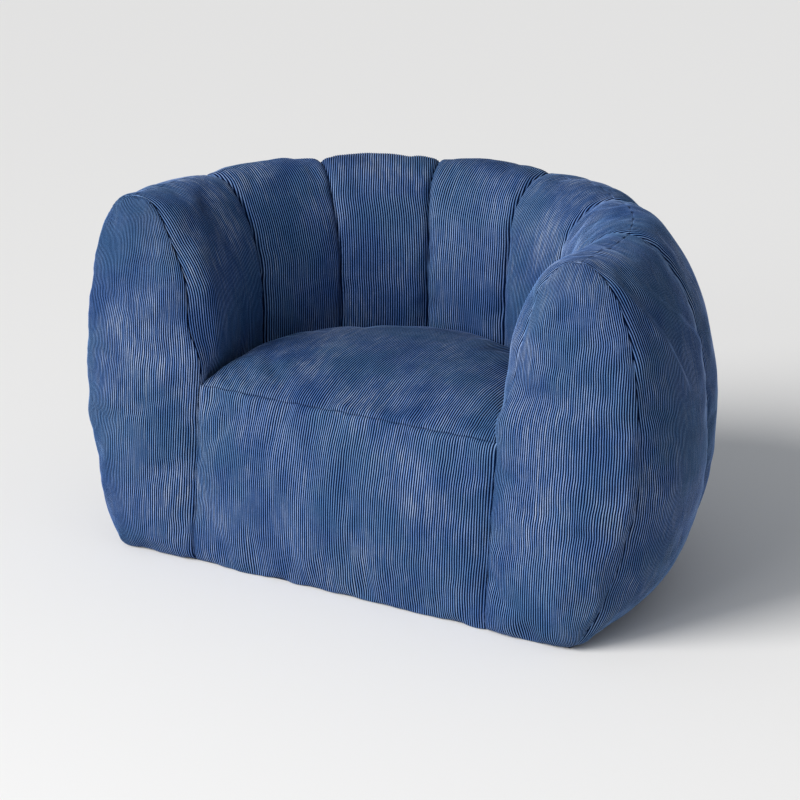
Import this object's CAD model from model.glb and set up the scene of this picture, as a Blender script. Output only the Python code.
"""A structured bean bag armchair in blue wide-wale corduroy.

The cover is made as it is sewn. A coarse cloth is simulated over the filled shape, and each
panel is then cut from it on a fine grid whose columns follow the corduroy's ribs, so the ribs,
seams, puckers and folds are all geometry. Lengths are in metres in the chair's own frame:
+X right, -Y front, +Z up, origin on the floor under the middle.
"""

import math

import bpy
import numpy as np
from mathutils import Matrix, Vector


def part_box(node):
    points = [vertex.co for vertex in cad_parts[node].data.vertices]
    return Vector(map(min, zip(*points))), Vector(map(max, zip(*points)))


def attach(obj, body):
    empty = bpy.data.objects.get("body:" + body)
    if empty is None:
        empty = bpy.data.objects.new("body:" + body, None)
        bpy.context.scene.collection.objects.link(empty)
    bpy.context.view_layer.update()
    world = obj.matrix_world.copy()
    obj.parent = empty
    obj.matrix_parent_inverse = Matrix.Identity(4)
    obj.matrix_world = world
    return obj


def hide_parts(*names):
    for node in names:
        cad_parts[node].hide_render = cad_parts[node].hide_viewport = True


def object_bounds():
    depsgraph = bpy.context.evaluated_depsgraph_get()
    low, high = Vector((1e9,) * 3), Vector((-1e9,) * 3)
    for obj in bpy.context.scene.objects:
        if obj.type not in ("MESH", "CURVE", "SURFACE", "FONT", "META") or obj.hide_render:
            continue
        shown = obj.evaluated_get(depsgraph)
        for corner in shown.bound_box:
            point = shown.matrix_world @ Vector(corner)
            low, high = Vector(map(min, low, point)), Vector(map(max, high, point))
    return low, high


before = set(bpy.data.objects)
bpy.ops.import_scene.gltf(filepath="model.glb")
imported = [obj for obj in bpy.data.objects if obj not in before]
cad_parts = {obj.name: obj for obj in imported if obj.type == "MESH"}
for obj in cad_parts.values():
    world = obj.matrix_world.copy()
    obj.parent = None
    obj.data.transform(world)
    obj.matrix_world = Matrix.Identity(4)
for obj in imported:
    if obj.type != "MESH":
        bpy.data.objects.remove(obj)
cad_lo, cad_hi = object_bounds()

# ---- the chair's sizes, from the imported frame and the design's own dimensions ----

BODY = "chair"
SIDES = ("left_front", "left_side", "left_back", "back", "right_back", "right_side", "right_front")
MIDDLE = len(SIDES) // 2

# The horseshoe's section: puff, widths from its crest line, heights, and powers that bend its curves
PUFF = 0.010
SHOWN_PUFF = 0.008
CREST_R = 0.365
INNER_W = 0.100
INNER_Z = 0.345
BELLY_W = 0.1145
BELLY_Z = 0.228
FOOT_W = 0.024
CREST_Z = cad_hi.z - PUFF
RIM_Z = 0.0022
SQUARE = 1.0
SQUARE_LOW = 1.24
SQUARE_IN = 0.82

# The plan: an arc behind ARC_Y and a straight arm on each side in front of it
ARC_Y = -0.168
LEAN = 0.057
FRONT_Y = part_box("base_panel_front")[0].y
WALL_R = CREST_R - INNER_W
ARM_LEN = ARC_Y - FRONT_Y - LEAN
ARC_HALF = CREST_R * math.pi / 2
PITCH = 2 * (ARC_HALF + ARM_LEN) / len(SIDES)

# The seat and the front panel
SEAT_FRONT_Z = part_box("front_panel")[1].z + 0.001
SEAT_TOP_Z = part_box("seat_panel")[1].z
CREASE_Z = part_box("inner_channel_back")[0].z
FRONT_BULGE = 0.016
SEAT_DOME = 0.030

# How the arm fronts swell and round off, how the arms taper and tuck in, and the top's sideways lean
CROWN = 0.020
ARM_ROUND = 0.095
FRONT_TAPER = 0.016
INNER_TAPER = 0.025
FOOT_TUCK = 0.006
SETBACK = 0.016
SETBACK_ROUND = 0.060
CORNER = 0.021
SIDE_LEAN = 0.008

# The gap under the chair, and how far the base stops short of the arms' and front panel's edges
FLOOR_GAP = 0.0002
BASE_INSET = 0.004

# ---- the corduroy ----

# The pitch and height of its ribs, the points across each rib, and the usual step between rows
WALE = 0.00363
RIB_H = 0.0007
PER_WALE = 4
ROW_STEP = 0.0075

# How far seam allowances turn in, how much an arm's ribs fan out, and the width of a narrow row
FLANGE = 0.007
FAN = 0.45
NARROW = 0.05


def front_y(z):
    """The plane of the front seams, which leans back with height."""
    return FRONT_Y + LEAN * z / CREST_Z


# ---- small helpers on arrays ----


def smooth01(v):
    v = np.clip(v, 0, 1)
    return v * v * (3 - 2 * v)


def resample(points, n):
    """n points at equal lengths along a polyline."""
    d = np.r_[0, np.cumsum(np.linalg.norm(np.diff(points, axis=0), axis=1))]
    at = np.linspace(0, d[-1], n)
    return np.stack([np.interp(at, d, points[:, k]) for k in range(points.shape[1])], 1)


def value_noise(seed, size, *coords):
    """Smooth noise in about -1..1 over one to three coordinates, with cells of the given size."""
    rng = np.random.default_rng(seed)
    table = rng.uniform(-1, 1, (64,) * len(coords))
    total = 0.0
    cells, fracs = [], []
    for c in coords:
        c = np.asarray(c, float) / size + 17.3
        i = np.floor(c).astype(int)
        f = c - i
        cells.append(i)
        fracs.append(f * f * f * (f * (f * 6 - 15) + 10))
    for corner in range(2 ** len(coords)):
        w, index = 1.0, []
        for k in range(len(coords)):
            bit = (corner >> k) & 1
            w = w * (fracs[k] if bit else 1 - fracs[k])
            index.append((cells[k] + bit) % 64)
        total = total + w * table[tuple(index)]
    return total * 1.5


# ---- the filled shape, as smooth formulas ----


def quarter(across_power, down_power):
    """A rounded quarter turn: how far across and how far up it is, both from 0 to 1."""
    a = np.linspace(0, math.pi / 2, 200)
    return np.sin(a) ** across_power, np.cos(a).clip(0) ** down_power


def outer_curve():
    """The outside of the horseshoe from crest to foot: distance from the crest line, height."""
    s, c = quarter(SQUARE, SQUARE)
    up = np.stack([BELLY_W * s, BELLY_Z + (CREST_Z - BELLY_Z) * c], 1)
    s, c = quarter(SQUARE_LOW, SQUARE_LOW)
    down = np.stack([FOOT_W + (BELLY_W - FOOT_W) * c, BELLY_Z + (RIM_Z - BELLY_Z) * s], 1)
    return np.r_[up, down[1:]]


def inner_curve():
    """The seat side of the horseshoe from crest down to the hidden crease."""
    s, c = quarter(SQUARE_IN, SQUARE)
    bend = np.stack([-INNER_W * s, INNER_Z + (CREST_Z - INNER_Z) * c], 1)
    return np.r_[bend, [[-INNER_W, CREASE_Z]]]


# Points in the coarse grids, where an arm front's rows end, and the heights over which puff fades in
N_ACROSS = 25
N_ALONG = 116
N_ARM_ROWS = 84
N_ARM_COLS = 30
ARM_TIP_R = 0.0025
CREASE_FADE = 0.045
FOOT_FADE = 0.090


def section():
    """The horseshoe's section from crease over crest to foot: points, normals, crest's index."""
    inner, outer = inner_curve()[::-1], outer_curve()
    p = resample(np.r_[inner, outer[1:]], N_ALONG)
    t = np.gradient(p, axis=0)
    n = np.stack([-t[:, 1], t[:, 0]], 1) / np.linalg.norm(t, axis=1, keepdims=True)
    return p, n, int(np.argmax(p[:, 1]))


def place(s, r, z):
    """Points at length s along the crest line, r outside it, at height z."""
    a = np.clip(s, -ARC_HALF, ARC_HALF) / CREST_R
    v = (np.abs(s) - ARC_HALF).clip(0) / ARM_LEN
    front = front_y(z) + tucked(r, z)
    r = narrowed(r, z, v)
    x = (CREST_R + r) * np.sin(a) + sideways(z)
    y = ARC_Y + (CREST_R + r) * np.cos(a)
    return np.stack([x, y + (front - ARC_Y) * v, z + 0 * x], -1)


def sideways(z):
    """How far the soft top has settled to one side."""
    return -SIDE_LEAN * smooth01((z - 0.41) / 0.11)


def narrowed(r, z, v):
    """Distance outside the crest line, once the arm has narrowed towards its front at v = 1.

    Outside it turns a round corner and tucks in near the floor, and inside it rounds off near
    the crest.
    """
    out = np.maximum(r, 0) / BELLY_W
    corner = CORNER * out * turned(v, 0.3) * (1 - 0.5 * smooth01((z - 0.36) / 0.16))
    tuck = FRONT_TAPER * out * smooth01((0.30 - z) / 0.24) * v**1.6
    high = smooth01((z - 0.29) / 0.08)
    inside = INNER_TAPER * np.maximum(-r, 0) / INNER_W * high * turned(v, 0.55)
    return r + inside - corner - tuck


def turned(v, start):
    """A round corner's share of its depth, from 0 at start to 1 at the front, v = 1."""
    return (1 - np.sqrt(1 - (0.94 * np.clip((v - start) / (1 - start), 0, 1)) ** 2)) / 0.66


def tucked(r, z):
    """How far a front edge stands back: just above the floor, and low on an arm's outside."""
    floor = FOOT_TUCK * (1 - np.clip(z / 0.035, 0, 1)) ** 2
    return floor + SETBACK * smooth01(r / BELLY_W) * smooth01((0.40 - z) / 0.20)


def swell(k, w):
    """Puff across channel k: none at its seams, and full at the front end of an arm."""
    v = w / 2 if k == MIDDLE else (w + 1) / 2 if k == -MIDDLE else w
    return np.sqrt(np.clip(4 * v * (1 - v), 0, 1))


def channel_grid(k):
    """Coarse grid of one whole channel, from the crease over the crest to the foot."""
    p, n, crest = section()
    w = np.linspace(0, 1, N_ACROSS)
    s = (k - 0.5 + w) * PITCH
    at_front = smooth01((np.abs(s) - ARC_HALF) / ARM_LEN)[None, :]
    inside = np.arange(N_ALONG)[:, None] < crest
    crease = smooth01((p[:, 1:] - CREASE_Z) / CREASE_FADE)
    foot = smooth01((p[:, 1:] - RIM_Z) / FOOT_FADE)
    fade = np.where(inside, np.maximum(crease, at_front), foot)
    amount = SHOWN_PUFF * swell(k, w)[None, :] * fade
    r = p[:, :1] + n[:, :1] * amount
    z = p[:, 1:] + n[:, 1:] * amount
    return place(s[None, :] + 0 * r, r, z), crest


def arm_outline():
    """Edge of an arm front, where the horseshoe's section ends: the seat side, then the outside."""
    p, n, crest = section()
    fade = np.where(np.arange(N_ALONG) < crest, 1.0, smooth01((p[:, 1] - RIM_Z) / FOOT_FADE))
    q = p + n * (SHOWN_PUFF * fade)[:, None]
    return q[: crest + 1], q[crest:]


def arm_grid(side):
    """Coarse grid of an arm front: level rows from the floor up, columns outwards."""
    inner, outer = arm_outline()
    line = resample(outer, 900)
    line = resample(line[line[:, 0] > ARM_TIP_R], N_ARM_ROWS)[::-1]
    z = line[:, 1]
    low = np.interp(z, inner[:, 1], inner[:, 0])
    w = np.linspace(0, 1, N_ARM_COLS)[None, :]
    r = low[:, None] + (line[:, :1] - low[:, None]) * w
    z = z[:, None] + 0 * r
    outline = np.r_[np.stack([low, line[:, 1]], 1), line[::-1], [[low[0], line[0, 1]]]]
    edge = distance_to_outline(r, z, outline)
    swollen = np.sqrt(1 - (1 - np.clip(edge / ARM_ROUND, 0, 1)) ** 2)
    seam = tucked(line[:, :1] + 0 * r, z) - tucked(0 * r, z)
    rounded = np.sqrt(1 - (1 - np.clip((line[:, :1] - r) / SETBACK_ROUND, 0, 1)) ** 2)
    y = front_y(z) + tucked(0 * r, z) + seam * (1 - rounded) - CROWN * swollen
    return np.stack([side * (CREST_R + narrowed(r, z, 1.0)) + sideways(z), y, z], -1)


def distance_to_outline(x, z, outline):
    """Distance from each point to a closed outline."""
    fine = resample(outline, 600)
    p = np.stack([x.ravel(), z.ravel()], 1)
    d = np.full(len(p), 9.0)
    for i in range(0, len(fine), 50):
        q = fine[i : i + 50]
        d = np.minimum(d, np.linalg.norm(p[:, None] - q[None], axis=2).min(1))
    return d.reshape(x.shape)


def front_grid():
    """Coarse grid of the front panel: rows go up, columns go right."""
    half = WALL_R - SHOWN_PUFF
    x = np.linspace(-half, half, 62)[None, :]
    v = np.linspace(0, 1, 36)[:, None]
    z = RIM_Z + (SEAT_FRONT_Z - RIM_Z) * v + 0 * x
    c = np.clip(1 - (x / half) ** 2, 0, 1) ** 0.7
    bulge = c * np.clip(4 * v * (1 - v), 0, 1) ** 0.75
    y = front_y(z) + tucked(0 * z, z) - FRONT_BULGE * bulge
    return np.stack([x + 0 * z, y, z], -1)


def seat_grid():
    """Coarse grid of the seat panel: rows go back from the front seam, columns go right."""
    half = WALL_R - 0.001
    x = np.sin(np.linspace(-1, 1, 64) * 1.32) / math.sin(1.32) * half * 0.996
    x = x[None, :]
    y0 = front_y(SEAT_FRONT_Z) + 0 * x
    y1 = ARC_Y + np.sqrt(half**2 - x**2)
    v = np.linspace(0, 1, 60)[:, None]
    y = y0 + (y1 - y0) * v
    wall = np.where(y < ARC_Y, half - np.abs(x), half - np.hypot(x, y - ARC_Y)).clip(0)
    near_front = (y - y0).clip(0)
    # by the front corners the seam rises from the crease to the front seam
    low = CREASE_Z + (SEAT_FRONT_Z - CREASE_Z) * smooth01(1 - near_front / 0.06)
    top = SEAT_TOP_Z - 0.006
    from_wall = low + (top - low) * (1 - np.exp(-wall / 0.011)) + SEAT_DOME * smooth01(wall / 0.14)
    rise = SEAT_TOP_Z + 0.010 - SEAT_FRONT_Z
    from_front = SEAT_FRONT_Z + rise * (1 - np.exp(-near_front / 0.05))
    # the lower of the two, with a soft edge between them
    k = 0.004
    z = -k * np.log(np.exp(-from_wall / k) + np.exp(-from_front / k))
    z = np.maximum(z, np.minimum(low, from_front))
    x = x * (1 - SHOWN_PUFF / WALL_R * np.exp(-near_front / 0.02))
    return np.stack([x + 0 * z, y, z], -1)


def squeezed(grid):
    """The grid with the arms' inner edges leaning in over the seat and its front panel."""
    x, y, z = np.moveaxis(grid, 2, 0)
    edge = WALL_R - SHOWN_PUFF
    reach = np.abs(x)
    share = np.where(reach < edge, reach / edge, 1 - smooth01((reach - edge) / 0.11))
    amount = (0.007 + 0.007 * smooth01((z - 0.26) / 0.06)) * (1 - smooth01((z - 0.42) / 0.09))
    near = smooth01((FRONT_Y + 0.19 - y) / 0.15)
    return np.stack([x - np.sign(x) * amount * share * near, y, z], -1)


def make_grids():
    """Every panel's coarse grid, and each channel's row number at the crest."""
    grids = {"seat": seat_grid(), "front": front_grid()}
    grids.update({"arm_left": arm_grid(-1), "arm_right": arm_grid(1)})
    crests = {}
    for i, side in enumerate(SIDES):
        grids[side], crests[side] = channel_grid(i - MIDDLE)
    return {name: squeezed(g) for name, g in grids.items()}, crests


# ---- cloth simulation of the whole cover ----


def grid_faces(rows, cols, start=0):
    """The four-sided faces of a grid of points numbered row by row."""
    i, j = np.meshgrid(np.arange(rows - 1), np.arange(cols - 1), indexing="ij")
    a = start + i * cols + j
    return np.stack([a, a + 1, a + cols + 1, a + cols], -1).reshape(-1, 4)


def outward(name):
    """1 if a grid's own normal (along its rows, then its columns) points out, else -1."""
    return -1 if name == "arm_left" else 1


# How much spare cloth and how much pressure each panel gets, where 1 is a channel's
SPARE = {"front": 0.35, "arm_left": 0.6, "arm_right": 0.7, "seat": 0.7}
FILL = {"front": 0.5, "arm_left": 0.45, "arm_right": 0.5, "seat": 0.75}

# The furthest that the simulation may move the cloth, and how many frames it runs
MOST_MOVE = 0.012
FRAMES = 20

# The cloth modifier's settings
CLOTH = {
    "quality": 7,
    "mass": 0.2,
    "air_damping": 4,
    "tension_stiffness": 18,
    "compression_stiffness": 18,
    "shear_stiffness": 8,
    "bending_stiffness": 0.35,
    "tension_damping": 10,
    "compression_damping": 10,
    "shear_damping": 10,
    "vertex_group_mass": "pin",
    "vertex_group_shrink": "spare",
    "shrink_min": -0.012,
    "shrink_max": -0.045,
    "use_pressure": True,
    "uniform_pressure_force": 3.2,
    "vertex_group_pressure": "press",
}


def coarse_cover(grids):
    """All grids as one list of points and faces, each grid's span in it, and its cloth weights."""
    verts, faces, spans = [], [], {}
    weights = {"pin": [], "spare": [], "press": []}
    start = 0
    for n, (name, g) in enumerate(grids.items()):
        rows, cols = g.shape[:2]
        f = grid_faces(rows, cols, start)
        faces.append(f[:, ::-1] if outward(name) < 0 else f)
        spans[name] = (start, start + rows * cols)
        i = np.minimum(np.arange(rows), np.arange(rows)[::-1])[:, None]
        j = np.minimum(np.arange(cols), np.arange(cols)[::-1])[None, :]
        ring = np.minimum(i, j)
        jitter = value_noise(90 + n, 0.03, g[..., 0], g[..., 1], g[..., 2]) * 0.0008
        moved = g + jitter[..., None] * (ring > 0)[..., None]
        verts.append(moved.reshape(-1, 3))
        weights["pin"].append((ring == 0).ravel())
        weights["spare"].append((SPARE.get(name, 1.0) * np.exp(-ring / 3.0)).ravel())
        height = np.clip(1.25 - g[..., 2] / 0.6, 0.30, 1.0)
        weights["press"].append((FILL.get(name, 1.0) * height).ravel())
        start += rows * cols
    return np.concatenate(verts), np.concatenate(faces), spans, weights


def add_weights(form, label, weights):
    """A vertex group with the weights, in steps of a hundredth."""
    group = form.vertex_groups.new(name=label)
    w = np.round(np.concatenate(weights).astype(float), 2)
    for level in np.unique(w):
        if level > 0:
            group.add(np.nonzero(w == level)[0].tolist(), min(float(level), 1.0), "REPLACE")


def add_cloth(form):
    """Cloth that is pinned at the seams, has spare width beside them and is blown up from inside."""
    cloth = form.modifiers.new("cloth", "CLOTH")
    for key, value in CLOTH.items():
        setattr(cloth.settings, key, value)
    cloth.settings.effector_weights.gravity = 0
    cloth.collision_settings.use_collision = False
    cloth.collision_settings.use_self_collision = False


def simulate(grids):
    """Inflates the coarse panels, held at their seams, with a little spare cloth to pucker."""
    verts, faces, spans, weights = coarse_cover(grids)
    mesh = bpy.data.meshes.new("cover_form")
    mesh.from_pydata(verts.tolist(), [], faces.tolist())
    form = bpy.data.objects.new("cover_form", mesh)
    bpy.context.scene.collection.objects.link(form)
    for label, parts in weights.items():
        add_weights(form, label, parts)
    add_cloth(form)
    scene = bpy.context.scene
    for f in range(1, FRAMES + 1):
        scene.frame_set(f)
    evaluated = form.evaluated_get(bpy.context.evaluated_depsgraph_get())
    out = np.empty(len(verts) * 3, np.float32)
    evaluated.to_mesh().vertices.foreach_get("co", out)
    evaluated.to_mesh_clear()
    scene.frame_set(1)
    bpy.data.objects.remove(form, do_unlink=True)
    bpy.data.meshes.remove(mesh)
    out = out.reshape(-1, 3).astype(float)
    result = {}
    for name, g in grids.items():
        a, b = spans[name]
        width = np.linalg.norm(g[:, -1] - g[:, 0], axis=1)[:, None, None]
        move = (out[a:b].reshape(g.shape) - g) * smooth01(width / NARROW)
        size = np.linalg.norm(move, axis=2, keepdims=True)
        result[name] = g + move / np.sqrt(1 + (size / MOST_MOVE) ** 2)
    return result


# ---- smooth sampling of a coarse grid ----


def ghosted(grid):
    """The grid with one more row and column on every side, so that its spline meets its edges."""
    g = np.concatenate([2 * grid[:1] - grid[1:2], grid, 2 * grid[-1:] - grid[-2:-1]], 0)
    return np.concatenate([2 * g[:, :1] - g[:, 1:2], g, 2 * g[:, -1:] - g[:, -2:-1]], 1)


def spline(x, n):
    """Cubic B-spline at x in 0..n-1: the first row or column, and four weights and their slopes."""
    i = np.clip(np.floor(x).astype(int), 0, n - 2)
    f = x - i
    w = [(1 - f) ** 3, 3 * f**3 - 6 * f**2 + 4, -3 * f**3 + 3 * f**2 + 3 * f + 1, f**3]
    d = [-((1 - f) ** 2), 3 * f**2 - 4 * f, -3 * f**2 + 2 * f + 1, f**2]
    return i, [k / 6 for k in w], [k / 2 for k in d]


def sample(grid, row, col, slopes=False):
    """The grid's smooth surface at fractional places, and if asked its slopes down and across."""
    g = ghosted(grid)
    i, wi, di = spline(row, grid.shape[0])
    j, wj, dj = spline(col, grid.shape[1])
    pairs = ((wi, wj), (di, wj), (wi, dj)) if slopes else ((wi, wj),)
    totals = [0.0] * len(pairs)
    for a in range(4):
        for b in range(4):
            near = g[i + a, j + b]
            for k, (one, two) in enumerate(pairs):
                totals[k] = totals[k] + (one[a] * two[b])[..., None] * near
    return totals if slopes else totals[0]


def unit(v):
    return v / (np.linalg.norm(v, axis=-1, keepdims=True) + 1e-12)


def grid_normals(name, grid):
    return unit(np.cross(np.gradient(grid, axis=1), np.gradient(grid, axis=0))) * outward(name)


def border(grid):
    """Row and column numbers of a grid's border points, in order round it."""
    rows, cols = grid.shape[:2]
    i, j = np.arange(rows), np.arange(cols)
    down = np.r_[0 * j[:-1], i[:-1], 0 * j[:-1] + rows - 1, i[:0:-1]]
    across = np.r_[j[:-1], 0 * i[:-1] + cols - 1, j[:0:-1], 0 * i[:-1]]
    return down, across


def refined(loop, parts=6):
    """A closed loop of rows of numbers with more rows in between."""
    at = np.arange(len(loop) * parts) / parts
    closed = np.r_[loop, loop[:1]]
    return np.stack([np.interp(at, np.arange(len(closed)), c) for c in closed.T], 1)


def shared_normals(grids):
    """Each grid's normals, where panels that meet at a seam share one direction along it."""
    normals = {name: grid_normals(name, g) for name, g in grids.items()}
    shared = {name: n.copy() for name, n in normals.items()}
    for name, g in grids.items():
        at = border(g)
        points, total = g[at], normals[name][at].copy()
        for other, h in grids.items():
            if other == name:
                continue
            their = border(h)
            d = np.linalg.norm(points[:, None] - refined(h[their])[None], axis=2)
            near = d.argmin(1)
            close = np.exp(-((d.min(1) / 0.005) ** 4))
            total += refined(normals[other][their])[near] * close[:, None]
        shared[name][at] = unit(total)
    return shared


# ---- one fine panel ----

# Where the leads near an arm's top fan out from, seen from that top
ARM_HEART = np.array([0, 0.060, -0.080])


def end_clustered(length, step):
    """Places along a length: fine near both ends, where seams are, and even between them."""
    ends = np.array([0, 0.0012, 0.0026, 0.0044, 0.0068, 0.010, 0.0145])
    count = max(2, round((length - 2 * ends[-1]) / step))
    middle = np.linspace(ends[-1], length - ends[-1], count)
    return np.r_[ends[:-1], middle, (length - ends[:-1])[::-1]]


def rib(across):
    """Height of the ribs in -1..1: broad round tops and narrow valleys."""
    c = np.cos(2 * math.pi * across / WALE)
    return 0.45 + c - 0.45 * c * c


def distance_to_line(points, line):
    """For each point: distance to a line, and the length along the line where it is nearest."""
    step = 0.004
    count = max(8, int(np.linalg.norm(np.diff(line, axis=0), axis=1).sum() / step))
    line = resample(line, count).astype(np.float32)
    flat = points.reshape(-1, 3).astype(np.float32)
    best = np.full(len(flat), 9.0, np.float32)
    at = np.zeros(len(flat), np.float32)
    for i in range(0, count, 40):
        q = line[i : i + 40]
        d = ((flat[:, None] - q[None]) ** 2).sum(2)
        k = d.argmin(1)
        d = np.sqrt(d[np.arange(len(flat)), k])
        near = d < best
        best[near] = d[near]
        at[near] = (i + k[near]) * step
    return best.reshape(points.shape[:2]), at.reshape(points.shape[:2])


def calmed(grids, leads):
    """The leads, but fanning out from a point inside each arm near its top.

    The arm's rows shrink to almost nothing there, so their own normals can't be trusted.
    """
    for arm in ("arm_left", "arm_right"):
        tip = grids[arm][-1].mean(0)
        inside = tip + ARM_HEART
        for name, grid in grids.items():
            near = smooth01(2.2 - np.linalg.norm(grid - tip, axis=2) / 0.035)[..., None]
            leads[name] = unit(leads[name] * (1 - near) + unit(grid - inside) * near)
    return leads


def ribs_across(grid, ruled, row, col):
    """The ribs' coordinate at places on a grid: as ruled, or the distance from the middle."""
    if ruled is not None:
        return sample(ruled[..., None], row, col)[..., 0]
    step = np.linalg.norm(np.diff(sample(grid, row, col), axis=1), axis=2)
    across = np.pad(np.cumsum(step, axis=1), ((0, 0), (1, 0)))
    middle = across.shape[1] // 2
    return across - across[:, middle : middle + 1]


def panel(name, grid, lead, rows=(0.0, 1.0), ruled=None, seams=(1, 1, 1, 1), seed=0, folds=None,
          gathers=(0, 0, 0, 0)):
    """A fine panel cut from a coarse grid, from one share of its rows to another.

    Its columns follow the ribs. They keep their distance from the panel's middle, unless ruled
    gives the ribs' own coordinate over the coarse grid. lead is the direction in which the cloth
    rises. seams says how deep the seam is at the first row, last row, first and last column, and
    gathers how high its gathers are. folds adds a height of its own over points of the panel.
    """
    n_rows, n_cols = grid.shape[:2]
    first, last = rows[0] * (n_rows - 1), rows[1] * (n_rows - 1)
    t = np.linspace(first, last, 257)
    probe = sample(grid, t[:, None], np.linspace(0, n_cols - 1, 5)[None, :])
    run = np.r_[0, np.cumsum(np.linalg.norm(np.diff(probe, axis=0), axis=2).max(1))]
    along = end_clustered(run[-1], ROW_STEP)
    t = np.interp(along, run, t)[:, None]
    w = np.linspace(0, 1, 129)[None, :]
    across = ribs_across(grid, ruled, t + 0 * w, w * (n_cols - 1) + 0 * t)
    step = WALE / PER_WALE
    columns = np.arange(math.floor(across.min() / step), math.ceil(across.max() / step) + 1) * step
    low, high = across[:, :1], across[:, -1:]
    u = np.concatenate([low, np.clip(columns[None], low, high), high], 1)
    w = np.stack([np.interp(u[i], across[i], w[0]) for i in range(len(u))])
    t = np.repeat(t, u.shape[1], 1)
    p = sample(grid, t, w * (n_cols - 1))
    n = unit(sample(lead, t, w * (n_cols - 1)))
    v = along[:, None] + 0 * u
    lift, closest, shade = seam_relief(p, seams, gathers, seed)
    waves = value_noise(seed + 40, 0.055, u + 3 * seed, v * 0.7)
    lift += WAVES * waves * smooth01(closest / 0.02)
    if folds is not None:
        lift += folds(p) * smooth01(closest / 0.014)
    ribs = RIB_H * rib(u) * smooth01(closest / 0.0025)
    ribs *= 1 + 0.18 * value_noise(seed + 60, 0.02, u, v)
    q = p + n * (lift + ribs)[..., None]
    q[..., 2] = np.maximum(q[..., 2], FLOOR_GAP)
    return panel_mesh(name, q, n, u, v, shade)


# Heights of the seams' grooves, the hollows and puckers beside them and the waves between them
GROOVE = 0.0030
HOLLOW = 0.0022
PUCKER = 0.0011
FRONT_PUCKER = 0.0024
WAVES = 0.0010


def seam_relief(p, seams, gathers, seed):
    """Height from seams and the puckers beside them, the distance to a seam, and its shade."""
    lift = np.zeros(p.shape[:2])
    sunk = np.zeros(p.shape[:2])
    closest = np.full(p.shape[:2], 9.0)
    shade = np.full(p.shape[:2], 9.0)
    tug = 1 + 0.35 * value_noise(7, 0.025, *np.moveaxis(p, 2, 0))
    for k, (line, depth) in enumerate(zip((p[0], p[-1], p[:, 0], p[:, -1]), seams)):
        d, at = distance_to_line(p, line)
        closest = np.minimum(closest, d)
        shade = np.minimum(shade, d / max(depth, 0.05))
        groove = GROOVE * np.exp(-d / 0.0035) + HOLLOW * tug * np.exp(-d / 0.013)
        sunk = np.maximum(sunk, depth * groove)
        pucker = value_noise(seed * 11 + k, 0.0115, at, d * 0.35)
        pucker = pucker + 0.7 * value_noise(seed * 13 + k, 0.024, at, d * 0.3)
        beside = np.exp(-d / 0.020) * (1 - np.exp(-d / 0.004))
        lift += depth * PUCKER * pucker * beside
        if gathers[k]:
            fold = value_noise(seed * 17 + k, 0.0135, at, d * 0.12)
            lift += gathers[k] * fold * np.exp(-d / 0.045) * (1 - np.exp(-d / 0.006))
    front = smooth01((-0.14 - p[..., 1]) / 0.08) * np.exp(-closest / 0.028)
    lift += FRONT_PUCKER * front * value_noise(5, 0.030, *np.moveaxis(p, 2, 0))
    return lift - sunk, closest, shade


def panel_mesh(name, q, n, u, v, shade):
    """The mesh: joins the points of columns that end at a side seam, and turns its edges in."""
    width = np.linalg.norm(q[:, -1] - q[:, 0], axis=1)[:, None, None]
    turn = FLANGE * np.clip(width / NARROW, 0.05, 1)
    last = 1 if np.linalg.norm(q[-1, -1] - q[-1, 0]) > NARROW else 0
    q = np.concatenate([q[:, :1] - n[:, :1] * turn, q, q[:, -1:] - n[:, -1:] * turn], 1)
    n = np.concatenate([n[:, :1], n, n[:, -1:]], 1)
    q = np.concatenate([q[:1] - n[:1] * FLANGE, q, (q[-1:] - n[-1:] * FLANGE)[:last]], 0)
    n = np.concatenate([n[:1], n, n[-1:][:last]], 0)
    u, v, shade = (np.pad(x, ((1, last), (1, 1)), mode="edge") for x in (u, v, shade))
    ids = np.arange(q.shape[0] * q.shape[1]).reshape(q.shape[:2])
    inner = np.zeros(u.shape, bool)
    inner[:, 2:-2] = True
    ids = np.where(inner & (u <= u[:, 1:2] + 1e-6), ids[:, 1:2], ids)
    ids = np.where(inner & (u >= u[:, -2:-1] - 1e-6), ids[:, -2:-1], ids)
    quads = np.stack([ids[:-1, :-1], ids[:-1, 1:], ids[1:, 1:], ids[1:, :-1]], -1).reshape(-1, 4)
    side = np.cross(q[:-1, 1:] - q[:-1, :-1], q[1:, :-1] - q[:-1, :-1])
    if (side * n[:-1, :-1]).sum() < 0:
        quads = quads[:, ::-1]
    repeat = quads == np.roll(quads, -1, 1)
    full = quads[repeat.sum(1) == 0]
    three = repeat.sum(1) == 1
    triangles = quads[three][~repeat[three]].reshape(-1, 3)
    data = np.stack([u, v, shade], -1).reshape(-1, 3)
    return new_mesh(name, q.reshape(-1, 3), [full, triangles], data)


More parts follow.
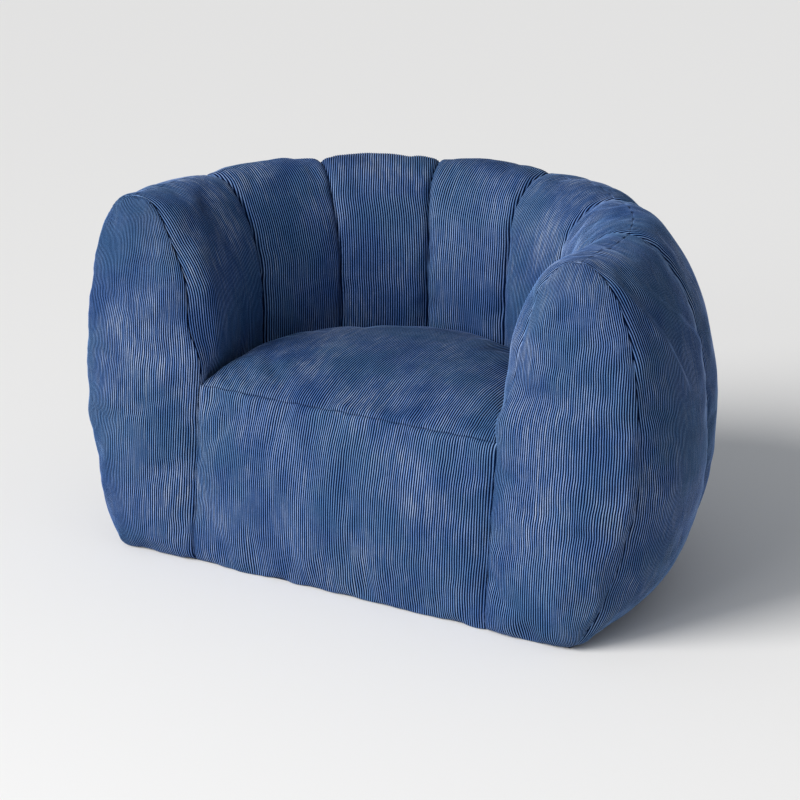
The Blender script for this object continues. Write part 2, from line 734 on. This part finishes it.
def new_mesh(name, points, polygons, cloth=None):
    """A smooth-shaded mesh object from points and arrays of faces, with its cloth coordinates."""
    used, flat = np.unique(np.concatenate([f.ravel() for f in polygons]), return_inverse=True)
    sizes = np.concatenate([np.full(len(f), f.shape[1]) for f in polygons if len(f)])
    mesh = bpy.data.meshes.new(name)
    mesh.vertices.add(len(used))
    mesh.vertices.foreach_set("co", points[used].astype(np.float32).ravel())
    mesh.loops.add(len(flat))
    mesh.loops.foreach_set("vertex_index", flat.astype(np.int32).ravel())
    mesh.polygons.add(len(sizes))
    mesh.polygons.foreach_set("loop_start", np.r_[0, np.cumsum(sizes)[:-1]].astype(np.int32))
    mesh.polygons.foreach_set("use_smooth", np.ones(len(sizes), bool))
    mesh.update(calc_edges=True)
    mesh.validate()
    if cloth is not None:
        layer = mesh.attributes.new("cloth", "FLOAT_VECTOR", "POINT")
        layer.data.foreach_set("vector", cloth[used].astype(np.float32).ravel())
    piece = bpy.data.objects.new(name, mesh)
    bpy.context.scene.collection.objects.link(piece)
    return piece


def closed_sheet(name, points, normals, thickness, keep=None):
    """A closed thin piece: the kept cells of a grid of points, given thickness along its normals."""
    rows, cols = points.shape[:2]
    half = normals * np.asarray(thickness)[..., None] / 2
    both = np.concatenate([(points + half).reshape(-1, 3), (points - half).reshape(-1, 3)])
    top = grid_faces(rows, cols)
    if keep is not None:
        top = top[keep.ravel()]
    a, b = top.ravel(), np.roll(top, -1, 1).ravel()
    total = rows * cols
    edge = ~np.isin(a * total + b, b * total + a)
    a, b = a[edge], b[edge]
    rim = np.stack([b, a, a + total, b + total], -1)
    return closed_mesh(name, both, [np.concatenate([top, top[:, ::-1] + total, rim])])


def closed_block(name, layers):
    """A closed form from a top grid down to a bottom grid, with only borders shown between."""
    rows, cols = layers[0].shape[:2]
    size = rows * cols
    points = np.concatenate([g.reshape(-1, 3) for g in layers])
    ids = np.arange(size).reshape(rows, cols)
    loop = np.r_[ids[0, :-1], ids[:-1, -1], ids[-1, :0:-1], ids[:0:-1, 0]]
    turn = np.roll(loop, -1)
    rims = [
        np.stack([turn + k * size, loop + k * size, loop + (k + 1) * size, turn + (k + 1) * size], -1)
        for k in range(len(layers) - 1)
    ]
    top = grid_faces(rows, cols)
    bottom = grid_faces(rows, cols, (len(layers) - 1) * size)[:, ::-1]
    return closed_mesh(name, points, [np.concatenate([top, bottom, *rims])])


def closed_mesh(name, points, polygons):
    """A mesh whose faces are turned outwards, whichever way they were listed."""
    volume = 0.0
    for f in polygons:
        for k in range(2, f.shape[1]):
            a, b, c = points[f[:, 0]], points[f[:, k - 1]], points[f[:, k]]
            volume += (a * np.cross(b, c)).sum()
    if volume < 0:
        polygons = [f[:, ::-1] for f in polygons]
    return new_mesh(name, points, polygons)


def closed_loft(name, rings):
    """A closed form through rings of points, with a fan at each end."""
    count, around = rings.shape[:2]
    points = np.concatenate([rings.reshape(-1, 3), rings[0].mean(0)[None], rings[-1].mean(0)[None]])
    i, j = np.meshgrid(np.arange(count - 1), np.arange(around), indexing="ij")
    k = (j + 1) % around
    a = i * around
    sides = np.stack([a + j, a + k, a + around + k, a + around + j], -1).reshape(-1, 4)
    ring = np.arange(around)
    turn = np.roll(ring, -1)
    start = np.stack([turn, ring, np.full(around, count * around)], -1)
    last = (count - 1) * around
    end = np.stack([last + ring, last + turn, np.full(around, count * around + 1)], -1)
    return closed_mesh(name, points, [sides, np.concatenate([start, end])])


# ---- materials ----


class Nodes:
    """Short calls to build a node material."""

    def __init__(self, name, roughness=0.8, specular=0.2):
        self.material = bpy.data.materials.new(name)
        self.material.use_nodes = True
        self.tree = self.material.node_tree
        self.shader = self.tree.nodes["Principled BSDF"]
        self.set("Roughness", roughness)
        self.set("Specular IOR Level", specular)

    def set(self, socket, value):
        self.shader.inputs[socket].default_value = value

    def add(self, kind, inputs=(), **settings):
        node = self.tree.nodes.new(kind)
        for key, value in settings.items():
            setattr(node, key, value)
        for socket, source in dict(inputs).items():
            self.feed(source, node.inputs[socket])
        return node

    def feed(self, source, target):
        if isinstance(source, (int, float, tuple)):
            target.default_value = source
        else:
            self.tree.links.new(source, target)

    def math(self, operation, a, b=0.0):
        return self.add("ShaderNodeMath", {0: a, 1: b}, operation=operation).outputs[0]

    def wave(self, value, pitch):
        """-1..1 and back again once in each pitch along a length."""
        return self.math("SINE", self.math("MULTIPLY", value, 2 * math.pi / pitch))

    def mix(self, factor, a, b, blend="MIX"):
        node = self.add("ShaderNodeMix", data_type="RGBA", blend_type=blend)
        self.feed(factor, node.inputs[0])
        self.feed((*a, 1.0) if isinstance(a, tuple) else a, node.inputs[6])
        self.feed((*b, 1.0) if isinstance(b, tuple) else b, node.inputs[7])
        return node.outputs[2]

    def place(self):
        """The point's place in the piece's own frame, which is the chair's."""
        return self.add("ShaderNodeTexCoord").outputs["Object"]

    def split(self, vector):
        return self.add("ShaderNodeSeparateXYZ", {0: vector}).outputs

    def stretch(self, vector, scale):
        return self.add("ShaderNodeMapping", {"Vector": vector, "Scale": scale}).outputs["Vector"]

    def noise(self, vector, scale, detail=2.0, roughness=0.5):
        inputs = {"Vector": vector, "Scale": scale, "Detail": detail, "Roughness": roughness}
        return self.add("ShaderNodeTexNoise", inputs).outputs["Fac"]

    def ramp(self, value, low, high, to_low=0.0, to_high=1.0):
        node = self.add("ShaderNodeMapRange", clamp=True, interpolation_type="SMOOTHSTEP")
        for x, socket in zip((value, low, high, to_low, to_high), node.inputs):
            self.feed(x, socket)
        return node.outputs[0]

    def color(self, source):
        self.feed(source, self.shader.inputs["Base Color"])

    def bump(self, height, distance, strength=1.0):
        node = self.add("ShaderNodeBump", {"Height": height, "Distance": distance, "Strength": strength})
        self.feed(node.outputs[0], self.shader.inputs["Normal"])

    def weave(self, vector, pitch):
        """Over and under threads of a plain weave, 0..1."""
        parts = self.split(vector)
        waves = [self.wave(parts[k], 2 * pitch) for k in (0, 1)]
        return self.ramp(self.math("MULTIPLY", *waves), -1.0, 1.0)


VALLEY = (0.0016, 0.008, 0.035)
PILE_DARK = (0.052, 0.138, 0.395)
PILE_LIGHT = (0.132, 0.256, 0.590)
PILE_PALE = (0.680, 0.790, 0.980)
PILE_TEAL = (0.072, 0.205, 0.395)


def corduroy():
    """Blue cotton corduroy: light pile on the ribs, dark valleys, nap brushed in soft patches."""
    m = Nodes("corduroy", 0.52, 0.30)
    cloth = m.add("ShaderNodeAttribute", attribute_name="cloth").outputs["Vector"]
    across, _, edge = m.split(cloth)
    crest = m.ramp(m.math("COSINE", m.math("MULTIPLY", across, 2 * math.pi / WALE)), -0.05, 0.85)
    clouds = m.ramp(m.noise(m.stretch(m.place(), (1.0, 1.0, 0.6)), 13.0, 5.0, 0.66), 0.28, 0.72)
    streaks = m.ramp(m.noise(m.stretch(cloth, (230.0, 20.0, 0.0)), 1.0, 3.0, 0.6), 0.35, 0.72)
    nap = m.noise(m.place(), 850.0, 2.0, 0.6)
    tone = m.noise(m.place(), 7.0, 3.0, 0.6)
    brushed = m.ramp(m.noise(m.place(), 5.5, 3.0, 0.6), 0.40, 0.66)
    pile = m.mix(clouds, PILE_DARK, PILE_LIGHT)
    share = m.ramp(brushed, 0.0, 1.0, 0.34, 0.66)
    pale = m.math("MULTIPLY", m.math("MULTIPLY", streaks, share), clouds)
    pile = m.mix(pale, pile, PILE_PALE)
    pile = m.mix(m.ramp(tone, 0.42, 0.64, 0.0, 0.5), pile, PILE_TEAL)
    base = m.mix(crest, VALLEY, pile)
    base = m.mix(m.ramp(nap, 0.3, 0.7, 0.3, 0.0), base, VALLEY)
    base = m.mix(m.ramp(edge, 0.0, 0.0035, 0.55, 0.0), base, VALLEY)
    m.color(base)
    m.feed(m.ramp(crest, 0.0, 1.0, 0.0, 0.42), m.shader.inputs["Specular IOR Level"])
    m.set("Sheen Weight", 0.10)
    m.set("Sheen Roughness", 0.40)
    m.set("Sheen Tint", (0.55, 0.72, 1.0, 1.0))
    m.set("Specular Tint", (0.72, 0.84, 1.0, 1.0))
    m.bump(nap, 0.0004, 0.5)
    return m.material


def canvas(name, dark, light, pitch):
    """A plain-woven cloth with soft wear and slightly uneven threads."""
    m = Nodes(name, 0.9, 0.15)
    weave = m.weave(m.place(), pitch)
    wear = m.ramp(m.noise(m.place(), 14.0, 4.0, 0.6), 0.35, 0.7)
    uneven = m.noise(m.stretch(m.place(), (400.0, 60.0, 60.0)), 1.0, 2.0)
    base = m.mix(weave, dark, m.mix(wear, tuple(0.8 * x for x in light), light))
    m.color(m.mix(m.ramp(uneven, 0.3, 0.7, 0.0, 0.3), base, dark))
    m.set("Sheen Weight", 0.08)
    m.bump(weave, pitch * 0.3, 0.7)
    return m.material


TWILL_PITCH = 0.0011


def twill_tape():
    """The zip's woven tape: fine diagonal ribs."""
    m = Nodes("zip_twill", 0.85, 0.2)
    angle = (0.0, 0.0, math.radians(32))
    slanted = m.add("ShaderNodeMapping", {"Vector": m.place(), "Rotation": angle}).outputs[0]
    ribs = m.ramp(m.wave(m.split(slanted)[0], TWILL_PITCH), -1.0, 1.0)
    fuzz = m.noise(m.place(), 700.0, 2.0)
    base = m.mix(ribs, (0.012, 0.020, 0.045), (0.035, 0.055, 0.105))
    m.color(m.mix(m.ramp(fuzz, 0.35, 0.7, 0.0, 0.35), base, (0.055, 0.08, 0.14)))
    m.bump(ribs, 0.0003, 0.6)
    return m.material


def nylon():
    """Moulded zip teeth with a faint satin finish."""
    m = Nodes("moulded_nylon", 0.42, 0.45)
    flow = m.noise(m.place(), 260.0, 3.0)
    m.color(m.mix(m.ramp(flow, 0.3, 0.7), (0.016, 0.022, 0.042), (0.026, 0.036, 0.062)))
    m.feed(m.ramp(flow, 0.2, 0.8, 0.34, 0.5), m.shader.inputs["Roughness"])
    m.bump(flow, 0.00005, 0.4)
    return m.material


def zip_metal():
    """Die-cast zinc, tumbled: rubbed bright on top, duller where it is rough."""
    m = Nodes("cast_zinc", 0.34, 0.5)
    m.set("Metallic", 1.0)
    wear = m.noise(m.place(), 420.0, 4.0, 0.6)
    scratch = m.noise(m.stretch(m.place(), (80.0, 2400.0, 2400.0)), 1.0, 2.0)
    m.color(m.mix(m.ramp(wear, 0.3, 0.7), (0.40, 0.41, 0.43), (0.60, 0.61, 0.63)))
    m.feed(m.ramp(scratch, 0.3, 0.7, 0.26, 0.46), m.shader.inputs["Roughness"])
    m.bump(wear, 0.00006, 0.5)
    return m.material


def bead_cloth():
    """Thin pale non-woven cloth, with the beads inside pressing through it."""
    m = Nodes("bead_cloth", 0.88, 0.2)
    beads = m.add("ShaderNodeTexVoronoi", {"Vector": m.place(), "Scale": 230.0}, feature="SMOOTH_F1")
    lumps = m.ramp(beads.outputs["Distance"], 0.0, 0.75, 1.0, 0.0)
    fibres = m.noise(m.stretch(m.place(), (900.0, 260.0, 260.0)), 1.0, 3.0)
    base = m.mix(lumps, (0.52, 0.53, 0.55), (0.74, 0.75, 0.77))
    m.color(m.mix(m.ramp(fibres, 0.35, 0.7, 0.0, 0.4), base, (0.62, 0.63, 0.66)))
    m.bump(lumps, 0.0012, 0.7)
    return m.material


def thread():
    """Twisted sewing thread."""
    m = Nodes("sewing_thread", 0.6, 0.3)
    twist = m.noise(m.stretch(m.place(), (3000.0, 900.0, 900.0)), 1.0, 1.0)
    m.color(m.mix(m.ramp(twist, 0.35, 0.65), (0.03, 0.05, 0.11), (0.07, 0.11, 0.20)))
    m.bump(twist, 0.0002, 0.5)
    return m.material


# ---- the cover ----

# How deep each kind of seam sinks, where 1 is the seam between two channels
CHANNEL_SEAM = 1.0
CREST_SEAM = 0.15
FOOT_SEAM = 0.4
ARM_SEAM = 0.3
ARM_TIP_SEAM = 0.8
FLOOR_SEAM = 0.1
SEAT_EDGE_SEAM = 0.9
WALL_SEAM = 0.2


def finish_piece(piece, node, material, body=BODY):
    piece.data.materials.append(material)
    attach(piece, body)
    if node:
        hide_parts(node)


def finish_cover(piece, node):
    finish_piece(piece, node, CORDUROY)


def make_channels():
    for i, side in enumerate(SIDES):
        grid, lead = grids[side], leads[side]
        crest = crests[side] / (N_ALONG - 1)
        ends = (ARM_SEAM if i == 0 else CHANNEL_SEAM, ARM_SEAM if i == len(SIDES) - 1 else CHANNEL_SEAM)
        folds = drag_folds if i == len(SIDES) - 1 else None
        name = "inner_channel_" + side
        seams = (CHANNEL_SEAM, CREST_SEAM, *ends)
        inner = panel(name + "_cover", grid, lead, (0, crest), seams=seams, seed=10 + i)
        finish_cover(inner, name)
        name = "outer_channel_" + side
        seams = (CREST_SEAM, FOOT_SEAM, *ends)
        outer = panel(name + "_cover", grid, lead, (crest, 1), seams=seams, seed=30 + i, folds=folds)
        finish_cover(outer, name)


def girth(grid, sign):
    """Level distance over the cloth from the plane under the arm's crest, positive outwards."""
    level = np.linalg.norm(np.diff(grid[..., :2], axis=1), axis=2)
    s = np.pad(np.cumsum(level, axis=1), ((0, 0), (1, 0)))
    r = sign * (grid[..., 0] - sideways(grid[..., 2])) - CREST_R
    start = np.array([np.interp(0.0, r[i], s[i]) for i in range(len(s))])
    return s - start[:, None]


def fanned(r):
    """The ribs' coordinate over an arm front, where they lean towards both of its curved edges."""
    width = np.where(r < 0, np.maximum(-r[:, :1], 0.05), np.maximum(r[:, -1:], 0.05))
    widest = np.where(r < 0, -r.min(), r.max())
    return r * (1 - FAN + FAN * widest / width)


# How high the folds on the right arm are
FOLD_H = 0.0032


def drag_folds(p):
    """Two slanting folds that run down and back from the top of the right arm's front seam."""
    back = p[..., 1] - front_y(p[..., 2])
    down = CREST_Z - p[..., 2]
    total = 0.0
    for slope, start, strength in ((1.5, 0.012, 1.0), (0.75, -0.004, 0.7)):
        d = (down - start - slope * back) / math.hypot(1, slope)
        ridge = np.exp(-((d / 0.009) ** 2)) - 0.7 * np.exp(-(((d + 0.017) / 0.011) ** 2))
        total = total + strength * ridge
    window = smooth01(down / 0.03) * (1 - smooth01((down - 0.15) / 0.06))
    return FOLD_H * total * window


def make_arm_fronts():
    for side, sign in (("left", -1), ("right", 1)):
        key = "arm_" + side
        name = "arm_front_" + side
        ruled = fanned(girth(flat_grids[key], sign))
        seams = (FLOOR_SEAM, ARM_TIP_SEAM, ARM_SEAM, ARM_SEAM)
        gathers = (0, 0, 0.0006, 0.0009)
        piece = panel(name + "_cover", grids[key], leads[key], ruled=ruled, seams=seams, seed=50 + sign,
                      gathers=gathers)
        finish_cover(piece, name)


def make_level_panel(key, seams, gathers, seed):
    """The front panel or the seat, whose ribs keep their distance from the middle plane."""
    ruled = flat_grids[key][..., 0]
    name = key + "_panel"
    piece = panel(name + "_cover", grids[key], leads[key], ruled=ruled, seams=seams, seed=seed,
                  gathers=gathers)
    finish_cover(piece, name)


# ---- the base and its zip ----

BASE_T = 0.0012
ZIP_Y = (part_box("zip_tape_front")[1].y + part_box("zip_tape_back")[0].y) / 2
ZIP_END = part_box("zip_tape_front")[1].x + 0.002
NOTCH = 0.010
HEM = 0.008
BASE_R = CREST_R + FOOT_W
UP = np.array([0.0, 0.0, 1.0])


def base_half_width(y):
    """Half the floor outline's width at depth y."""
    v = np.clip((ARC_Y - y) / (ARC_Y - FRONT_Y), 0, 1)
    arm = CREST_R + narrowed(FOOT_W + 0 * y, 0.0, v) - BASE_INSET * v
    arc = np.sqrt(np.clip(BASE_R**2 - (y - ARC_Y) ** 2, 1e-6, None))
    return np.where(y < ARC_Y, arm, arc)


def base_panel(name, side):
    """One half of the base: canvas, with a notch for the zip and a folded hem beside it."""
    low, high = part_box(name)
    start, stop = (high.y, low.y + FOOT_TUCK + BASE_INSET) if side < 0 else (low.y, high.y)
    tab = NOTCH - abs(start - ZIP_Y)
    hem = tab + HEM * np.array([0.08, 0.5, 0.92, 1.0])
    field = np.linspace(tab + HEM + 0.004, abs(stop - start) - 0.0003, 44)
    depth = np.r_[0, tab / 2, tab, hem, field]
    y = (start + side * depth)[:, None]
    half = base_half_width(y)
    notch = np.minimum(ZIP_END, 0.8 * half)
    w = np.linspace(0, 1, 26)[None, :]
    x = np.concatenate([
        -half + (half - notch) * w,
        -notch + 2 * notch * np.linspace(0, 1, 60)[None, 1:-1],
        notch + (half - notch) * w,
    ], 1)
    y = y + 0 * x
    folded = (depth >= tab) & (depth < tab + HEM)
    thick = BASE_T + 0.0005 * folded[:, None] + 0 * x
    z = FLOOR_GAP + thick / 2 + 0.0001 * (1 + value_noise(5, 0.03, x, y))
    keep = np.ones((len(depth) - 1, x.shape[1] - 1), bool)
    keep[:2, 25:-25] = False
    piece = closed_sheet(name + "_canvas", np.stack([x, y, z], -1), UP, thick, keep)
    finish_piece(piece, name, CANVAS)


def tape(name, side):
    """One woven zip tape, whose outer edge waves a little."""
    low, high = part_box(name)
    x = np.linspace(low.x, high.x, 140)[:, None]
    y = np.linspace(low.y, high.y, 8)[None, :]
    far = np.abs(y - ZIP_Y) / 0.0166
    wave = 0.00025 * value_noise(8 + side, 0.02, x + 0 * y)
    z = (low.z + high.z) / 2 + wave * smooth01(far * 2 - 1)
    points = np.stack([x + 0 * y, y + 0 * x, z], -1)
    piece = closed_sheet(name + "_twill", points, UP, 0.0007 + 0 * z)
    finish_piece(piece, name, TWILL)


# How far the stitches round the base are from its edge
EDGE_IN = 0.006


def stitch_rows():
    """Lines on the base that are sewn: beside the zip's notch and round the edge."""
    lines = []
    for side in (-1, 1):
        for out in (NOTCH + 0.0018, NOTCH + HEM - 0.0014):
            x = np.linspace(-ZIP_END, ZIP_END, 2)
            lines.append(np.stack([x, ZIP_Y + side * out + 0 * x], 1))
    a = np.linspace(-math.pi / 2, math.pi / 2, 90)
    r = BASE_R - EDGE_IN
    arc = np.stack([r * np.sin(a), ARC_Y + r * np.cos(a)], 1)
    front_r = base_half_width(np.array(FRONT_Y)) - EDGE_IN
    front_seam = FRONT_Y + FOOT_TUCK + EDGE_IN
    front = [[front_r, front_seam], [-front_r, front_seam]]
    lines.append(np.r_[arc, front, arc[:1]])
    return lines


STITCH = 0.0034
THREAD_SIDES = 6


def stitch_faces(rings):
    """The faces of one stitch, numbered from its own first point."""
    faces = []
    for k in range(rings - 1):
        for j in range(THREAD_SIDES):
            a = k * THREAD_SIDES + j
            b = k * THREAD_SIDES + (j + 1) % THREAD_SIDES
            faces.append([a, b, b + THREAD_SIDES, a + THREAD_SIDES])
    last = THREAD_SIDES * (rings - 1)
    faces += [[3, 2, 1, 0], [5, 4, 3, 0]]
    faces += [[last + j for j in (0, 1, 2, 3)], [last + j for j in (0, 3, 4, 5)]]
    return np.array(faces)


def base_stitching():
    """Every stitch of those lines, a short slack capsule with a little unevenness."""
    around = np.linspace(0, 2 * math.pi, THREAD_SIDES, endpoint=False)
    ring = [(-0.42, 0.45), (-0.25, 1.0), (0.25, 1.0), (0.42, 0.45)]
    one = stitch_faces(len(ring))
    points, faces = [], []
    rng = np.random.default_rng(3)
    for line in stitch_rows():
        length = np.linalg.norm(np.diff(line, axis=0), axis=1).sum()
        spots = resample(line, int(length / STITCH))
        along = unit(np.gradient(spots, axis=0))
        for spot, way in zip(spots, along):
            turn = rng.uniform(-0.08, 0.08)
            way = np.array([way[0] - turn * way[1], way[1] + turn * way[0]])
            side = np.array([-way[1], way[0]])
            faces.append(one + len(points))
            for offset, width in ring:
                middle = spot + way * offset * STITCH
                for angle in around:
                    flat = middle + side * math.cos(angle) * width * 0.00030
                    points.append([*flat, 0.00032 + math.sin(angle) * width * 0.00028])
    piece = new_mesh("base_stitching", np.array(points), [np.concatenate(faces)])
    finish_piece(piece, None, thread())


def zip_hardware():
    """The teeth, end stops and slider keep their own shapes and get their real finish."""
    finishes = {"zip_teeth_front": NYLON, "zip_teeth_back": NYLON}
    finishes |= {"zip_end_stops": ZINC, "zip_slider": ZINC}
    for node, material in finishes.items():
        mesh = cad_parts[node].data
        for k in range(len(mesh.materials)):
            mesh.materials[k] = material


# ---- inside the cover ----

LINING_T = 0.0006
LINING_INSET = 0.009
BAG_FLOOR = 0.009


def baffle(k, side):
    """A lining wall in the seam between two channels, slack enough to wave."""
    s = (k + (0.5 if k < 0 else -0.5)) * PITCH
    p, _, crest = section()
    inner, outer = p[: crest + 1], p[crest:][::-1]
    z = np.linspace(BAG_FLOOR, CREST_Z - 0.016, 60)[:, None]
    low = np.interp(z[:, 0], inner[:, 1], inner[:, 0])[:, None] + LINING_INSET
    high = np.interp(z[:, 0], outer[:, 1], outer[:, 0])[:, None] - LINING_INSET
    w = np.linspace(0, 1, 22)[None, :]
    r = low + (high - low) * w
    z = z + 0 * r
    across = 0.0005 * value_noise(20 + k, 0.04, r, z)
    points = place(s + across, r, z)
    a = s / CREST_R
    facing = np.array([math.cos(a), -math.sin(a), 0.0])
    name = "baffle_" + side
    piece = closed_sheet(name + "_lining", points, facing, LINING_T + 0 * r)
    finish_piece(piece, name, LINING)


def seat_divider():
    """The lining wall round the seat's bag."""
    low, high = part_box("seat_divider")
    r = high.x - LINING_T
    a = np.linspace(-math.pi / 2, math.pi / 2, 90)
    arc = np.stack([r * np.sin(a), ARC_Y + r * np.cos(a)], 1)
    legs = np.array([[-r, low.y + 0.001]]), np.array([[r, low.y + 0.001]])
    path = resample(np.r_[legs[0], arc, legs[1]], 150)
    way = unit(np.gradient(path, axis=0))
    facing = np.stack([way[:, 1], -way[:, 0], 0 * way[:, 0]], 1)[None]
    z = np.linspace(low.z, high.z, 30)[:, None]
    x, y = path[None, :, 0] + 0 * z, path[None, :, 1] + 0 * z
    run = np.linspace(0, 1, 150)[None, :] * 1.1 + 0 * z
    slack = 1 + value_noise(31, 0.05, run, z + 0 * x)
    points = np.stack([x, y, z + 0 * x], -1) - facing * 0.0003 * slack[..., None]
    piece = closed_sheet("seat_divider_lining", points, facing, LINING_T + 0 * x)
    finish_piece(piece, "seat_divider", LINING)


def bead_bag(i, side):
    """One channel's bag of beads: it fills the channel just inside the cover."""
    grid, lead = grids[side], leads[side]
    k = i - MIDDLE
    w = np.linspace(0.02, 0.98, 16)
    w = np.clip(w, 0.06 if k == -MIDDLE else 0, 0.94 if k == MIDDLE else 1)
    t = np.linspace(3, N_ALONG - 4, 60)
    row, col = np.meshgrid(t, w * (N_ACROSS - 1), indexing="ij")
    p = sample(grid, row, col)
    n = unit(sample(lead, row, col))
    beside = np.exp(-np.minimum(w, 1 - w) * PITCH / 0.014)[None, :]
    lumps = value_noise(i + 3, 0.03, p[..., 0], p[..., 1], p[..., 2])
    deep = 0.0095 + 0.006 * beside + 0.0012 * lumps
    p = p - n * deep[..., None]
    p[..., 2] = np.maximum(p[..., 2], BAG_FLOOR)
    s = (k - 0.5 + w) * PITCH
    low = [(0.0, BAG_FLOOR), (-0.05, BAG_FLOOR), (-INNER_W + 0.006, BAG_FLOOR)]
    low += [(-INNER_W + 0.004, z) for z in (0.06, 0.12, 0.18)]
    under = np.stack([place(s, np.full(len(s), r), np.full(len(s), z)) for r, z in low])
    rings = np.moveaxis(np.concatenate([p, under]), 1, 0)
    piece = closed_loft("bead_bag_" + side + "_fill", rings)
    finish_piece(piece, "bead_bag_" + side, BEADS)


def seat_bead_bag():
    """The seat's own bag of beads."""
    g = grids["seat"]
    row, col = np.meshgrid(np.linspace(1, 58.5, 50), np.linspace(0.4, 62.6, 54), indexing="ij")
    top = sample(g, row, col) - 0.010 * unit(sample(leads["seat"], row, col))
    middle_y = ARC_Y - 0.02
    top[..., 0] *= 0.965
    top[..., 1] = middle_y + (top[..., 1] - middle_y) * 0.965
    top[..., 2] -= 0.001 * (1 + value_noise(77, 0.04, top[..., 0], top[..., 1]))
    layers = [top]
    for z in (0.20, 0.13, 0.06, BAG_FLOOR):
        level = top.copy()
        forward = smooth01((ARC_Y - level[..., 1]) / (ARC_Y - FRONT_Y - 0.03))
        level[..., 1] -= (front_y(SEAT_FRONT_Z) - front_y(z)) * forward * 0.8
        level[..., 2] = z
        layers.append(level)
    piece = closed_block("seat_bead_bag_fill", layers)
    finish_piece(piece, "seat_bead_bag", BEADS)


# ---- studio ----

# The camera stands in front of the chair, to its +X side, and looks a little down
AZIMUTH = math.radians(29.85)
ELEVATION = math.radians(19.29)
DISTANCE = 3.704
ACROSS = -0.119
ABOVE = 0.1625
AIM_Y = 0.1232
LENS = 102.6


def make_camera():
    back = Vector((
        math.sin(AZIMUTH) * math.cos(ELEVATION),
        -math.cos(AZIMUTH) * math.cos(ELEVATION),
        math.sin(ELEVATION),
    ))
    right = Vector((math.cos(AZIMUTH), math.sin(AZIMUTH), 0))
    up = back.cross(right)
    spot = back * DISTANCE + right * ACROSS + up * ABOVE + Vector((0, AIM_Y, 0))
    data = bpy.data.cameras.new("camera")
    data.lens = LENS
    camera = bpy.data.objects.new("camera", data)
    camera.matrix_world = Matrix.Translation(spot) @ Matrix((right, up, back)).transposed().to_4x4()
    bpy.context.scene.collection.objects.link(camera)
    bpy.context.scene.camera = camera


def add_lamp(name, kind, energy, color, facing):
    """A light of one kind that shines against the direction facing. Returns the lamp and its data."""
    data = bpy.data.lights.new(name, kind)
    data.energy = energy
    data.color = color
    lamp = bpy.data.objects.new(name, data)
    lamp.rotation_mode = "QUATERNION"
    lamp.rotation_quaternion = Vector(facing).to_track_quat("Z", "Y")
    bpy.context.scene.collection.objects.link(lamp)
    return lamp, data


def make_floor():
    reach = 14
    corners = [(-reach, -reach, 0), (reach, -reach, 0), (reach, reach, 0), (-reach, reach, 0)]
    mesh = bpy.data.meshes.new("floor")
    mesh.from_pydata(corners, [], [(0, 1, 2, 3)])
    floor = bpy.data.objects.new("floor", mesh)
    m = Nodes("studio_floor", 0.9, 0.1)
    m.set("Base Color", (0.866, 0.868, 0.870, 1))
    mesh.materials.append(m.material)
    bpy.context.scene.collection.objects.link(floor)


def make_light():
    """Even light all round, a wide soft sun from the left front and a panel in front."""
    world = bpy.data.worlds.new("studio")
    world.use_nodes = True
    background = world.node_tree.nodes["Background"]
    background.inputs["Color"].default_value = (0.95, 0.985, 1.03, 1)
    background.inputs["Strength"].default_value = 0.345
    bpy.context.scene.world = world
    key = add_lamp("key", "SUN", 3.15, (1.03, 1.0, 0.96), (-0.66, -0.88, 0.70))[1]
    key.angle = math.radians(32)
    spot, target = Vector((-0.4, -3.2, 1.5)), Vector((0, 0, 0.2))
    lamp, front = add_lamp("front", "AREA", 28, (1, 1, 1), spot - target)
    lamp.location = spot
    front.shape = "RECTANGLE"
    front.size, front.size_y = 1.6, 1.2


# ---- everything together ----

make_camera()
make_floor()
make_light()
bpy.context.scene.view_settings.view_transform = "Standard"

flat_grids, crests = make_grids()
grids = simulate(flat_grids)
leads = calmed(grids, shared_normals(grids))

CORDUROY = corduroy()
CANVAS = canvas("base_canvas", (0.012, 0.018, 0.040), (0.045, 0.068, 0.130), 0.0009)
TWILL = twill_tape()
NYLON = nylon()
ZINC = zip_metal()
LINING = canvas("lining_cloth", (0.30, 0.31, 0.33), (0.58, 0.59, 0.62), 0.0006)
BEADS = bead_cloth()

make_channels()
make_arm_fronts()
seams = (FLOOR_SEAM, SEAT_EDGE_SEAM, ARM_SEAM, ARM_SEAM)
make_level_panel("front", seams, (0.0004, 0.0013, 0.0004, 0.0004), 60)
seams = (SEAT_EDGE_SEAM, WALL_SEAM, WALL_SEAM, WALL_SEAM)
make_level_panel("seat", seams, (0.0009, 0, 0, 0), 70)
for side, name in ((-1, "base_panel_front"), (1, "base_panel_back")):
    base_panel(name, side)
for side, name in ((-1, "zip_tape_front"), (1, "zip_tape_back")):
    tape(name, side)
base_stitching()
zip_hardware()
for i, side in enumerate(SIDES):
    if i != MIDDLE:
        baffle(i - MIDDLE, side)
    bead_bag(i, side)
seat_divider()
seat_bead_bag()
